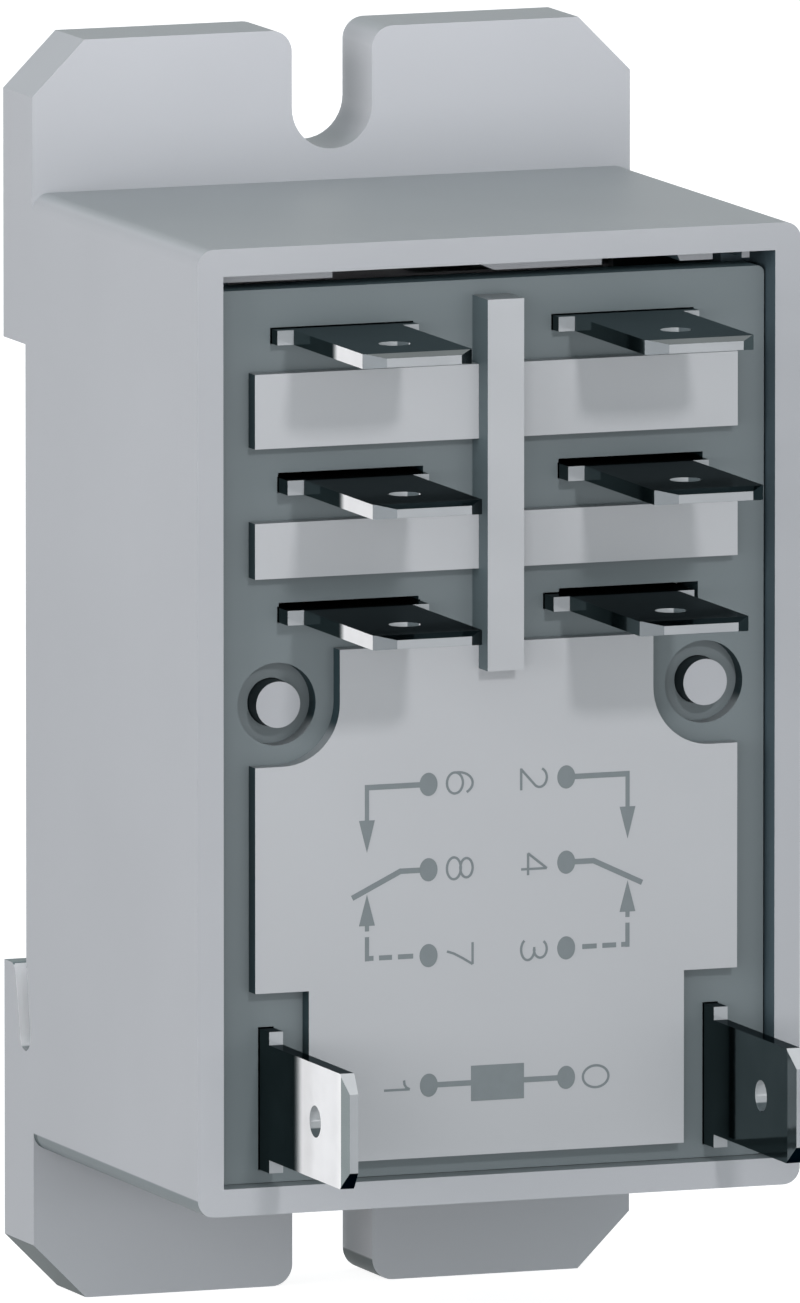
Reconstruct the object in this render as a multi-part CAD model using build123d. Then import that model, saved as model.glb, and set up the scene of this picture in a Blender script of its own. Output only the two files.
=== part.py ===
from build123d import *
import math
import os

# Plug-in power relay with a panel flange, in millimetres.
# X runs to the right as seen from the terminals, Y back towards the panel and Z up.
# The origin is the centre of the mounting face. Every depth is measured from that
# face towards the terminals, so a depth d lies at Y = -d.

# Cover
body_width = 35.0
body_height = 52.9
body_depth = 30.55
edge_radius = 0.95
wall = 1.5
back_wall = 1.7

# Flange, part of the cover
flange_height = 69.6
flange_thickness = 4.64
flange_chamfer = 3.05
notch_spacing = 61.0
notch_radius = 2.35
notch_mouth_radius = 1.2

# Rail channel across the back, with a latch tongue on its lower side
channel_depth = 3.5
channel_top = 18.0
channel_bottom = -16.5
latch_tip = 1.66
latch_root = 2.5
latch_slot_mouth = 1.94
latch_slot_root = 1.65
latch_slot_length = 3.8
latch_nose_radius = 0.5

# Stake posts of the cover, which carry and hold the terminal base
stake_inset = 3.6
stake_drop = 4.88
stake_radius = 1.27
stake_length = 2.65
stake_boss_radius = 2.2
stake_web = 1.2
stake_clearance = 0.05
counterbore_radius = 2.27
counterbore_depth = 1.0

# Ledges along the inside of the cover's top wall, and the seats in its corners
ledge_height = 0.53
corner_ledge_length = 6.84
middle_ledge_left = 0.2
middle_ledge_length = 6.25
middle_ledge_lead = 1.25
side_ledge_inset = 3.1
side_ledge_length = 1.9
side_ledge_lead = 0.25
end_rib_inset = 0.95
end_rib_width = 0.45
corner_seat = 1.7

# Terminal base
base_recess = 1.45
base_thickness = 2.4
base_side_gap = 0.1
base_bottom_gap = 0.03
base_top_gap = 1.0
base_corner_radius = 0.4
pad_height = 0.98
pad_inset = 2.0
pad_above_row = 2.12
pad_below_row = 1.95
panel_foot_height = 9.5
panel_foot_inset = 5.1
panel_bottom_margin = 1.02
panel_relief_radius = 3.3
barrier_width = 2.1
barrier_height = 2.35
barrier_top_margin = 0.83
barrier_foot_drop = 3.35

# Quick-connect tabs, 6.3 x 0.8
tab_width = 6.3
tab_thickness = 0.8
tab_length = 11.65
tab_hole_radius = 0.87
tab_hole_from_tip = 4.55
tab_point_width = 1.0
tab_point_length = 1.1
tab_tip_thickness = 0.48
tab_tip_bevel = 0.95
shoulder_width = 8.18
stop_overhang = 0.51
stop_length = 1.8
slot_clearance = 0.05
relief_height = 0.2
com_relief_width = 8.4
com_relief_shift = 0.11
nc_relief_width = 8.1
nc_relief_shift = 0.83

# Rows of contact terminals: heights, distances of the tabs from the side walls, rises
no_drop = 3.55
no_com_pitch = 8.14
com_nc_pitch = 7.11
no_left_inset = 7.38
no_right_inset = 8.34
com_left_inset = 7.78
com_right_inset = 7.97
nc_left_inset = 7.78
nc_right_inset = 8.81
no_rise = 1.0
com_rise = 1.5
nc_rise = 1.5

# Coil terminals, which stand on edge
coil_left_inset = 2.97
coil_right_inset = 3.19
coil_tab_height = 4.62
coil_tab_length = 12.0
coil_hole_from_tip = 4.9
coil_shoulder_width = 7.75
coil_rise = 1.6
coil_tail_width = 2.4
coil_tail_length = 2.7
lead_radius = 0.3
lead_start = 1.0

# Magnet
yoke_thickness = 1.8
yoke_width = 13.0
yoke_back_depth = 7.2
yoke_drop = 6.15
yoke_floor_gap = 0.25
yoke_front_margin = 4.4
yoke_lug_height = 1.3
yoke_rest_width = 1.5
bobbin_gap = 0.3
bobbin_width = 16.4
bobbin_flange = 1.15
bobbin_corner = 1.5
bobbin_tube_wall = 0.9
core_radius = 2.6
core_clearance = 0.05
core_head_radius = 5.0
core_head_thickness = 1.0
core_rivet_radius = 1.9
winding_margin = 0.8
winding_clearance = 0.05
residual_gap = 0.05
seat_width = 10.0
seat_depth = 1.8
seat_lip = 0.8
seat_groove = 0.6
seat_clearance = 0.05

# Armature, contact carrier and contact arms, given in the energised position
armature_travel = 5.0
armature_thickness = 1.6
armature_width = 16.0
armature_margin = 0.5
armature_tail = 0.2
armature_corner = 1.0
armature_clearance = 0.02
lug_clearance = 0.2
neck_clearance = 0.3
carrier_setback = 3.6
carrier_thickness = 3.0
carrier_gap = 0.4
carrier_height = 6.4
carrier_wall_width = 1.6
carrier_wall_height = 12.0
carrier_wall_reach = 1.8
carrier_peg_width = 1.8
carrier_peg_spacing = 11.0
peg_clearance = 0.03
arm_width = 4.0
arm_thickness = 0.5
arm_foot_height = 1.0
rivet_radius = 0.7
rivet_head_radius = 1.25
rivet_head_height = 0.5
rivet_clearance = 0.02
arm_rivet_height = 3.4

# Contacts
contact_drop = 3.9
contact_radius = 1.6
contact_flat_radius = 0.6
contact_height = 0.9
contact_crown = 0.15
contact_shank_radius = 0.8
contact_touch = 0.02
lug_margin = 0.3
strap_width = 4.4
riser_inset = 3.7
riser_width = 2.7
riser_gap = 0.8
strap_bend = 1.2

# Braids and hinge spring
braid_width = 2.4
braid_thickness = 0.7
braid_bend = 1.0
braid_height = 9.8
braid_room = 6.2
braid_end = 1.6
braid_sag = 0.9
spring_thickness = 0.2
spring_width = 7.0
spring_bend = 0.8
spring_drop = 8.0
spring_rivet_spacing = 4.0
spring_rivet_drop = 5.4
spring_margin = 1.4
spring_gap = 0.15
spring_crest_back = 0.5
spring_crest_rise = 0.65
spring_elbow_back = 1.25
spring_elbow_drop = 0.7
spring_yoke_drop = 2.0

# Derived positions of the cover and the terminal base
half_width = body_width / 2
half_height = body_height / 2
inner_x = half_width - wall
inner_z = half_height - wall
cavity_back = channel_depth + back_wall
base_front = body_depth - base_recess
base_rear = base_front - base_thickness
base_half_width = inner_x - base_side_gap
base_top = inner_z - base_top_gap
base_bottom = base_bottom_gap - inner_z
pad_front = base_front + pad_height
pad_half_width = inner_x - pad_inset
stop_rear = base_rear - stop_length
no_z = inner_z - no_drop
com_z = no_z - no_com_pitch
nc_z = com_z - com_nc_pitch
coil_tab_z = base_bottom + coil_tab_height
no_left, no_right = no_left_inset - inner_x, inner_x - no_right_inset
com_left, com_right = com_left_inset - inner_x, inner_x - com_right_inset
nc_left, nc_right = nc_left_inset - inner_x, inner_x - nc_right_inset
coil_left, coil_right = coil_left_inset - inner_x, inner_x - coil_right_inset
stake_x = inner_x - stake_inset
stake_z = nc_z - stake_drop

# Derived positions of the magnet
yoke_top = nc_z - yoke_drop
yoke_bottom = yoke_floor_gap - inner_z
yoke_front_face = yoke_back_depth + yoke_thickness
bobbin_front = base_rear - seat_depth
flange_reach = (bobbin_front - yoke_front_face - bobbin_gap) / 2
coil_axis = bobbin_front - flange_reach
pole_face = yoke_top - residual_gap
bobbin_top = pole_face - core_head_thickness
bobbin_bottom = yoke_bottom + yoke_thickness
top_flange = (bobbin_top - bobbin_flange, bobbin_top)
bottom_flange = (bobbin_bottom, bobbin_bottom + bobbin_flange)
tube_radius = core_radius + core_clearance + bobbin_tube_wall
winding_radius = flange_reach - winding_margin

# Derived positions of the armature group, energised
riser_outer = inner_x - riser_inset
riser_inner = riser_outer - riser_width
pole_x = riser_inner - riser_gap - arm_width / 2
hinge_depth = yoke_back_depth
hinge_z = yoke_top + armature_clearance
armature_top = hinge_z + armature_thickness
armature_middle = hinge_z + armature_thickness / 2
armature_rear = hinge_depth - armature_tail
armature_front = coil_axis + core_head_radius + armature_margin
neck_end = yoke_front_face + neck_clearance
lug_inner = yoke_width / 2 - yoke_thickness
neck_half_width = lug_inner - lug_clearance
carrier_rear = hinge_depth + carrier_setback
carrier_front = carrier_rear + carrier_thickness
carrier_middle = carrier_rear + carrier_thickness / 2
carrier_half_width = riser_inner - carrier_gap
peg_x = carrier_peg_spacing / 2
arm_front = carrier_front + arm_thickness
arm_rivet_z = armature_top + arm_rivet_height
contact_z = no_z - contact_drop
spring_hold = carrier_rear - spring_gap - spring_margin
spring_foot = yoke_top - spring_drop
spring_rivet_z = yoke_top - spring_rivet_drop
rivet_hole = rivet_radius + rivet_clearance

FRONT = Plane(origin=(0, 0, 0), x_dir=(1, 0, 0), z_dir=(0, -1, 0))
SIDE = Plane(origin=(0, 0, 0), x_dir=(0, -1, 0), z_dir=(-1, 0, 0))
PLAN = Plane(origin=(0, 0, 0), x_dir=(1, 0, 0), z_dir=(0, 0, -1))


def block(x, depth, z):
    """Box that spans the given ranges of X, depth and Z."""
    spans = (x[1] - x[0], depth[1] - depth[0], z[1] - z[0])
    centre = ((x[0] + x[1]) / 2, -(depth[0] + depth[1]) / 2, (z[0] + z[1]) / 2)
    return Pos(*centre) * Box(*spans)


def slab(sketch, near, far):
    """Sketch in X and Z, extruded from one depth to another."""
    return extrude(FRONT.offset(near) * sketch, far - near)


def side_solid(sketch, x):
    """Sketch in depth and Z, extruded over a range of X."""
    middle = (x[0] + x[1]) / 2
    return Pos(middle, 0, 0) * extrude(SIDE * sketch, (x[1] - x[0]) / 2, both=True)


def rod(x, z, radius, near, far):
    """Round rod along the depth."""
    return slab(Pos(x, z) * Circle(radius), near, far)


def rect(x, z):
    """Rectangle that spans the given ranges."""
    return Pos((x[0] + x[1]) / 2, (z[0] + z[1]) / 2) * Rectangle(x[1] - x[0], z[1] - z[0])


def strip_profile(points, thickness, bend):
    """Section of a bent sheet whose middle follows the given points."""
    return trace(FilletPolyline(*points, radius=bend), thickness)


def span(first, second):
    """Range between two values, lowest first."""
    return (min(first, second), max(first, second))


def swung(depth, z):
    """Where a point of the energised armature lies when it is released."""
    angle = math.radians(armature_travel)
    along = depth - hinge_depth
    up = z - hinge_z
    return (
        hinge_depth + along * math.cos(angle) - up * math.sin(angle),
        hinge_z + up * math.cos(angle) + along * math.sin(angle),
    )


def released(part):
    """Turn a piece of the moving group from energised to released."""
    return part.rotate(Axis((0, -hinge_depth, hinge_z), (1, 0, 0)), -armature_travel)


# The open contact meets the energised arm and the closed contact the released arm
no_face = arm_front + 2 * contact_height + contact_touch
moving_back = carrier_front - contact_height
nc_face = swung(moving_back, contact_z + contact_flat_radius)[0] - contact_touch - contact_height
nc_contact_z = swung(moving_back, contact_z)[1]


def flange_outline():
    """Flange with chamfered corners and a round-ended notch at each end."""
    outline = chamfer(Rectangle(body_width, flange_height).vertices(), flange_chamfer)
    top = flange_height / 2
    notches = Sketch()
    for end in (-1, 1):
        depth_of_slot = top - notch_spacing / 2
        slot = Pos(0, end * (top - depth_of_slot / 2)) * Rectangle(2 * notch_radius, depth_of_slot)
        notches += slot + Pos(0, end * notch_spacing / 2) * Circle(notch_radius)
        for side in (-1, 1):
            corner = (side * notch_radius, end * top)
            centre = (side * (notch_radius + notch_mouth_radius), end * (top - notch_mouth_radius))
            flare = rect(span(corner[0], centre[0]), span(corner[1], centre[1]))
            notches += flare - Pos(*centre) * Circle(notch_mouth_radius)
    return outline - notches


def latch_slot():
    """Tapered slot behind the latch tongue, open to the rail channel."""
    foot = channel_bottom - latch_slot_length
    mouth_end = latch_tip + latch_slot_mouth
    root_end = latch_root + latch_slot_root
    wedge = Polygon(
        (latch_tip, channel_bottom),
        (mouth_end, channel_bottom),
        (root_end, foot),
        (latch_root, foot),
        align=None,
    )
    end = Pos((latch_root + root_end) / 2, foot) * Circle(latch_slot_root / 2)
    nose_centre = (latch_tip - latch_nose_radius, channel_bottom - latch_nose_radius)
    nose = rect((nose_centre[0], latch_tip), (nose_centre[1], channel_bottom))
    nose -= Pos(*nose_centre) * Circle(latch_nose_radius)
    return side_solid(wedge + end + nose, (-half_width, half_width))


def top_ledge(left, right, lead_in):
    """Ledge on the inside of the cover's top wall, with a sloping left end."""
    profile = Polygon(
        (left - lead_in, inner_z),
        (left, inner_z - ledge_height),
        (right, inner_z - ledge_height),
        (right, inner_z),
        align=None,
    )
    return slab(profile, cavity_back, base_front)


def top_ledges():
    """The ledges from left to right, and the short rib beside the right-hand wall."""
    middle_right = middle_ledge_left + middle_ledge_length
    side_right = inner_x - side_ledge_inset
    rib_right = inner_x - end_rib_inset
    ledges = top_ledge(-inner_x, corner_ledge_length - inner_x, 0)
    ledges += top_ledge(middle_ledge_left, middle_right, middle_ledge_lead)
    ledges += top_ledge(side_right - side_ledge_length, side_right, side_ledge_lead)
    return ledges + top_ledge(rib_right - end_rib_width, rib_right, 0)


def stake_post(side):
    """Boss that carries the base, its web to the side wall and the pin through the base."""
    x = side * stake_x
    boss = rod(x, stake_z, stake_boss_radius, cavity_back, base_rear)
    pin = rod(x, stake_z, stake_radius, base_rear, base_rear + stake_length)
    web_z = (stake_z - stake_web / 2, stake_z + stake_web / 2)
    return boss + pin + block(span(x, side * inner_x), (cavity_back, base_rear), web_z)


def make_cover():
    """Five-sided housing in one moulding with its flange."""
    body = slab(RectangleRounded(body_width, body_height, edge_radius), channel_depth, body_depth)
    flange = slab(flange_outline(), 0, flange_thickness)
    channel = block((-half_width, half_width), (0, channel_depth), (channel_bottom, channel_top))
    cavity = slab(Rectangle(2 * inner_x, 2 * inner_z), cavity_back, body_depth)
    cover = body + (flange - channel) - latch_slot() - cavity + top_ledges()
    for side in (-1, 1):
        cover += stake_post(side)
        outer = side * inner_x
        for end in (-1, 1):
            seat_x = span(outer, outer - side * corner_seat)
            seat_z = span(end * inner_z, end * (inner_z - corner_seat))
            cover += block(seat_x, (cavity_back, base_rear), seat_z)
        rib_outer = side * (yoke_width / 2 - yoke_rest_width / 2)
        rib_x = span(rib_outer, rib_outer - side * yoke_rest_width)
        rib_z = (bobbin_bottom, spring_foot - yoke_rest_width)
        cover += block(rib_x, (cavity_back, yoke_back_depth), rib_z)
    return cover


def panel_outline():
    """Raised panel, cut back round the stake posts and stepped in at the foot."""
    top = nc_z - pad_below_row
    bottom = base_bottom + panel_bottom_margin
    step = bottom + panel_foot_height
    foot_half_width = inner_x - panel_foot_inset
    outline = rect((-pad_half_width, pad_half_width), (step, top))
    outline += rect((-foot_half_width, foot_half_width), (bottom, step))
    for side in (-1, 1):
        outer = side * pad_half_width
        neck = side * (stake_x - panel_relief_radius)
        outline -= Pos(side * stake_x, stake_z) * Circle(panel_relief_radius)
        outline -= rect(span(neck, outer), (stake_z, top))
        outline -= rect(span(side * stake_x, outer), (stake_z - panel_relief_radius, stake_z))
    return outline


def row_slot(middle, width, row_z, relief):
    """Slot as high as a blade, plus a relief above it."""
    half_gap = tab_thickness / 2 + slot_clearance
    slot = rect((middle - width / 2, middle + width / 2), (row_z - half_gap, row_z + half_gap + relief))
    return slab(slot, base_rear, base_front)


def coil_slot(tab_x):
    """Slot for one coil terminal."""
    half_gap = tab_thickness / 2 + slot_clearance
    half_slot = coil_shoulder_width / 2 + slot_clearance
    slot = rect((tab_x - half_gap, tab_x + half_gap), (coil_tab_z - half_slot, coil_tab_z + half_slot))
    return slab(slot, base_rear, base_front)


def bobbin_seat(flange_z):
    """Grooved seat on the back of the base that grips the edge of a bobbin flange."""
    low, high = flange_z
    seat_x = (-seat_width / 2, seat_width / 2)
    seat_rear = bobbin_front - seat_groove
    seat = block(seat_x, (seat_rear, base_rear), (low - seat_lip, high + seat_lip))
    groove_z = (low - seat_clearance, high + seat_clearance)
    return seat - block(seat_x, (seat_rear, bobbin_front), groove_z)


def make_base():
    """Moulding that closes the front of the cover and holds the terminals."""
    middle = (base_top + base_bottom) / 2
    height = base_top - base_bottom
    plate = Pos(0, middle) * RectangleRounded(2 * base_half_width, height, base_corner_radius)
    base = slab(plate, base_rear, base_front)
    for upper_row, lower_row in ((no_z, com_z), (com_z, nc_z)):
        pad_z = (lower_row + pad_above_row, upper_row - pad_below_row)
        base += slab(rect((-pad_half_width, pad_half_width), pad_z), base_front, pad_front)
    base += slab(panel_outline(), base_front, pad_front)
    barrier_z = (nc_z - barrier_foot_drop, base_top - barrier_top_margin)
    barrier = rect((-barrier_width / 2, barrier_width / 2), barrier_z)
    base += slab(barrier, base_front, base_front + barrier_height)
    for flange_z in (bottom_flange, top_flange):
        base += bobbin_seat(flange_z)
    slot_width = shoulder_width + 2 * slot_clearance
    rows = ((no_z, (no_left, no_right)), (com_z, (com_left, com_right)), (nc_z, (nc_left, nc_right)))
    for row_z, row in rows:
        for tab_x in row:
            base -= row_slot(tab_x, slot_width, row_z, 0)
    for tab_x in (com_left, com_right):
        base -= row_slot(tab_x + com_relief_shift, com_relief_width, com_z, relief_height)
    for middle in (nc_left, nc_right + nc_relief_shift):
        base -= row_slot(middle, nc_relief_width, nc_z, relief_height)
    for tab_x in (coil_left, coil_right):
        base -= coil_slot(tab_x)
    for side in (-1, 1):
        x = side * stake_x
        base -= rod(x, stake_z, stake_radius + stake_clearance, base_rear, base_front)
        base -= rod(x, stake_z, counterbore_radius, base_front - counterbore_depth, base_front)
    return base


def blade(width, rise, length, hole_from_tip):
    """Flat terminal from the rear of its stop to the tip of its tab, centred on X and Z."""
    front = base_front + rise
    tip = front + length
    half_tab = tab_width / 2
    half_shoulder = width / 2
    half_stop = half_shoulder + stop_overhang
    half_outline = (
        (half_tab - tab_point_width, tip),
        (half_tab, tip - tab_point_length),
        (half_tab, front),
        (half_shoulder, front),
        (half_shoulder, base_rear),
        (half_stop, base_rear),
        (half_stop, stop_rear),
    )
    mirrored = tuple((-x, depth) for x, depth in reversed(half_outline))
    outline = Polygon(*half_outline, *mirrored, align=None)
    outline -= Pos(0, tip - hole_from_tip) * Circle(tab_hole_radius)
    sheet = extrude(PLAN * outline, tab_thickness / 2, both=True)
    half_sheet = tab_thickness / 2
    half_tip = tab_tip_thickness / 2
    bevel = Polygon(
        (stop_rear, -half_sheet),
        (tip - tab_tip_bevel, -half_sheet),
        (tip, -half_tip),
        (tip, half_tip),
        (tip - tab_tip_bevel, half_sheet),
        (stop_rear, half_sheet),
        align=None,
    )
    return sheet & side_solid(bevel, (-half_stop, half_stop))


def contact_blade(rise):
    """Blade of a contact terminal."""
    return blade(shoulder_width, rise, tab_length, tab_hole_from_tip)


def make_no_terminal(side, tab_x):
    """Normally open terminal: its strap runs in over the arm and turns down in front of it."""
    middle = no_face + tab_thickness / 2
    foot = contact_z - contact_radius - lug_margin
    path = ((stop_rear, no_z), (middle, no_z), (middle, foot))
    strap_x = (side * pole_x - strap_width / 2, side * pole_x + strap_width / 2)
    strap = side_solid(strip_profile(path, tab_thickness, strap_bend), strap_x)
    return Pos(tab_x, 0, no_z) * contact_blade(no_rise) + strap


def make_com_terminal(side, tab_x):
    """Common terminal: a short tail that the braid is welded to."""
    tail_x = (side * pole_x - arm_width / 2, side * pole_x + arm_width / 2)
    tail_z = (com_z - tab_thickness / 2, com_z + tab_thickness / 2)
    tail = block(tail_x, (arm_front + braid_room, stop_rear), tail_z)
    return Pos(tab_x, 0, com_z) * contact_blade(com_rise) + tail


def make_nc_terminal(side, tab_x):
    """Normally closed terminal: its strap runs back beside the arm and rises behind it."""
    middle = nc_face - tab_thickness / 2
    top = nc_contact_z + contact_radius + lug_margin
    path = ((stop_rear, nc_z), (middle, nc_z), (middle, top))
    riser_x = span(side * riser_inner, side * riser_outer)
    strap = side_solid(strip_profile(path, tab_thickness, strap_bend), riser_x)
    lug_z = (nc_contact_z - contact_radius - lug_margin, top)
    lug_x = span(side * (pole_x - contact_radius - lug_margin), side * riser_outer)
    lug = block(lug_x, (nc_face - tab_thickness, nc_face), lug_z)
    return Pos(tab_x, 0, nc_z) * contact_blade(nc_rise) + strap + lug


def make_coil_terminal(tab_x):
    """Coil terminal: a blade on edge with a narrow tail for the lead."""
    flat = blade(coil_shoulder_width, coil_rise, coil_tab_length, coil_hole_from_tip)
    half_sheet = tab_thickness / 2
    tail_x = (-coil_tail_width / 2, coil_tail_width / 2)
    tail = block(tail_x, (stop_rear - coil_tail_length, stop_rear), (-half_sheet, half_sheet))
    return Pos(tab_x, 0, coil_tab_z) * Rot(0, 90, 0) * (flat + tail)


def make_fixed_contact(side, z, face, facing):
    """Contact brazed on a lug, flat so that the moving contact meets it squarely."""
    return rod(side * pole_x, z, contact_radius, *span(face, face + facing * contact_height))


def make_moving_contact(side):
    """Double-sided contact riveted through the arm, flat in front and crowned behind."""
    x = side * pole_x
    crown_base = carrier_front - contact_height + contact_crown
    contact = rod(x, contact_z, contact_shank_radius, carrier_front, arm_front)
    contact += rod(x, contact_z, contact_radius, arm_front, arm_front + contact_height)
    contact += rod(x, contact_z, contact_radius, crown_base, carrier_front)
    crown = Cone(contact_radius, contact_flat_radius, contact_crown)
    crown = Rot(-90, 0, 0) * Pos(0, 0, contact_crown / 2) * crown
    return released(contact + Pos(x, -crown_base, contact_z) * crown)


def make_arm(side):
    """Contact arm: a flat strip with a round head, riveted to the front of the carrier."""
    x = side * pole_x
    foot = armature_top + arm_foot_height
    outline = rect((x - arm_width / 2, x + arm_width / 2), (foot, contact_z))
    outline += Pos(x, contact_z) * Circle(arm_width / 2)
    outline -= Pos(x, contact_z) * Circle(contact_shank_radius + rivet_clearance)
    outline -= Pos(x, arm_rivet_z) * Circle(rivet_hole)
    return released(slab(outline, carrier_front, arm_front))


def make_arm_rivet(side):
    """Rivet that holds a contact arm on the carrier."""
    x = side * pole_x
    rivet = rod(x, arm_rivet_z, rivet_radius, carrier_rear, arm_front)
    rivet += rod(x, arm_rivet_z, rivet_head_radius, arm_front, arm_front + rivet_head_height)
    return released(rivet)


def make_carrier():
    """Insulating block on the armature with a wall between the poles and two pegs."""
    half = carrier_half_width
    carrier_z = (armature_top, armature_top + carrier_height)
    carrier = block((-half, half), (carrier_rear, carrier_front), carrier_z)
    wall_x = (-carrier_wall_width / 2, carrier_wall_width / 2)
    wall_depth = (carrier_rear, carrier_front + carrier_wall_reach)
    carrier += block(wall_x, wall_depth, (armature_top, armature_top + carrier_wall_height))
    for side in (-1, 1):
        peg = Box(carrier_peg_width, carrier_peg_width, armature_thickness)
        carrier += Pos(side * peg_x, -carrier_middle, armature_middle) * peg
        carrier -= rod(side * pole_x, arm_rivet_z, rivet_hole, carrier_rear, carrier_front)
    return released(carrier)


def make_armature():
    """Clapper plate, necked between the yoke's lugs."""
    half = armature_width / 2
    outline = rect((-half, half), (neck_end, armature_front))
    outline = chamfer(outline.vertices(), armature_corner)
    outline += rect((-neck_half_width, neck_half_width), (armature_rear, neck_end))
    outline -= Pos(0, spring_hold) * Circle(rivet_hole)
    hole_width = carrier_peg_width + 2 * peg_clearance
    for side in (-1, 1):
        outline -= Pos(side * peg_x, carrier_middle) * Rectangle(hole_width, hole_width)
    sheet = extrude(PLAN.offset(-armature_top) * outline, armature_thickness)
    return released(sheet)


def make_armature_rivet():
    """Rivet that holds the hinge spring on the armature."""
    seat = armature_top + spring_thickness
    shank = Pos(0, -spring_hold, (hinge_z + seat) / 2) * Cylinder(rivet_radius, seat - hinge_z)
    head = Cylinder(rivet_head_radius, rivet_head_height)
    return released(shank + Pos(0, -spring_hold, seat + rivet_head_height / 2) * head)


def make_hinge_spring():
    """Leaf that runs up the back of the yoke and over the armature's rear edge."""
    half = spring_thickness / 2
    top = armature_top + half
    points = (
        swung(spring_hold + spring_margin, top),
        swung(spring_hold - spring_margin, top),
        (hinge_depth - spring_crest_back, armature_top + spring_crest_rise),
        (hinge_depth - spring_elbow_back, armature_top - spring_elbow_drop),
        (yoke_back_depth - half, yoke_top - spring_yoke_drop),
        (yoke_back_depth - half, spring_foot),
    )
    profile = strip_profile(points, spring_thickness, spring_bend)
    spring = side_solid(profile, (-spring_width / 2, spring_width / 2))
    for side in (-1, 1):
        x = side * spring_rivet_spacing / 2
        rear = yoke_back_depth - spring_thickness
        spring -= rod(x, spring_rivet_z, rivet_hole, rear, yoke_back_depth)
    bore = Pos(0, -spring_hold, armature_top) * Cylinder(rivet_hole, 4 * spring_thickness)
    return spring - released(bore)


def make_yoke_rivets():
    """Two rivets that hold the hinge spring on the yoke."""
    rivets = Part()
    for side in (-1, 1):
        x = side * spring_rivet_spacing / 2
        seat = yoke_back_depth - spring_thickness
        shank = rod(x, spring_rivet_z, rivet_radius, seat, yoke_front_face)
        rivets += shank + rod(x, spring_rivet_z, rivet_head_radius, seat - rivet_head_height, seat)
    return rivets


def make_yoke():
    """L-shaped yoke with two lugs beside the armature's neck."""
    half = yoke_width / 2
    leg_front = coil_axis + yoke_front_margin
    profile = rect((yoke_back_depth, yoke_front_face), (yoke_bottom, yoke_top))
    profile += rect((yoke_back_depth, leg_front), (yoke_bottom, bobbin_bottom))
    corner = profile.vertices().sort_by_distance((yoke_back_depth, yoke_bottom))[0]
    profile = fillet(corner, yoke_thickness)
    yoke = side_solid(profile, (-half, half))
    for side in (-1, 1):
        lug_x = span(side * lug_inner, side * half)
        yoke += block(lug_x, (yoke_back_depth, yoke_front_face), (yoke_top, yoke_top + yoke_lug_height))
        x = side * spring_rivet_spacing / 2
        yoke -= rod(x, spring_rivet_z, rivet_hole, yoke_back_depth, yoke_front_face)
    middle = (yoke_bottom + bobbin_bottom) / 2
    yoke -= Pos(0, -coil_axis, middle) * Cylinder(core_rivet_radius, yoke_thickness)
    return yoke


def upright(radius, low, high):
    """Cylinder on the coil's axis."""
    return Pos(0, -coil_axis, (low + high) / 2) * Cylinder(radius, high - low)


def make_core():
    """Core with its pole head, riveted into the yoke's lower leg."""
    core = upright(core_radius, bobbin_bottom, bobbin_top) + upright(core_head_radius, bobbin_top, pole_face)
    return core + upright(core_rivet_radius, yoke_bottom, bobbin_bottom)


def make_bobbin():
    """Bobbin: a tube with a flange at each end, its corners cut off."""
    bobbin = upright(tube_radius, bobbin_bottom, bobbin_top)
    outline = chamfer(Rectangle(bobbin_width, 2 * flange_reach).vertices(), bobbin_corner)
    for low, high in (bottom_flange, top_flange):
        bobbin += Pos(0, -coil_axis, low) * extrude(outline, high - low)
    return bobbin - upright(core_radius + core_clearance, bobbin_bottom, bobbin_top)


def make_winding():
    """Copper winding between the bobbin's flanges."""
    low, high = bottom_flange[1], top_flange[0]
    return upright(winding_radius, low, high) - upright(tube_radius + winding_clearance, low, high)


def make_coil_lead(side, tab_x):
    """Wire that leaves the front of the winding and meets the coil terminal's tail."""
    start = side * lead_start
    face = tab_x - side * tab_thickness / 2
    depth = coil_axis + winding_radius + lead_radius
    wire = Rot(0, 90, 0) * Cylinder(lead_radius, abs(face - start))
    return Pos((start + face) / 2, -depth, coil_tab_z) * wire


def make_braid(side):
    """Slack flat braid from the common terminal's tail to the front of the contact arm."""
    start = arm_front + braid_room
    foot = armature_top + braid_height
    end = swung(arm_front + contact_touch, foot)
    lead_off = swung(arm_front + braid_end, foot)
    points = (
        (start, com_z),
        (start - braid_end, com_z),
        (lead_off[0] + braid_end, lead_off[1] - braid_sag),
        lead_off,
        end,
    )
    middle = side * pole_x
    profile = strip_profile(points, braid_thickness, braid_bend)
    return side_solid(profile, (middle - braid_width / 2, middle + braid_width / 2))


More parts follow.
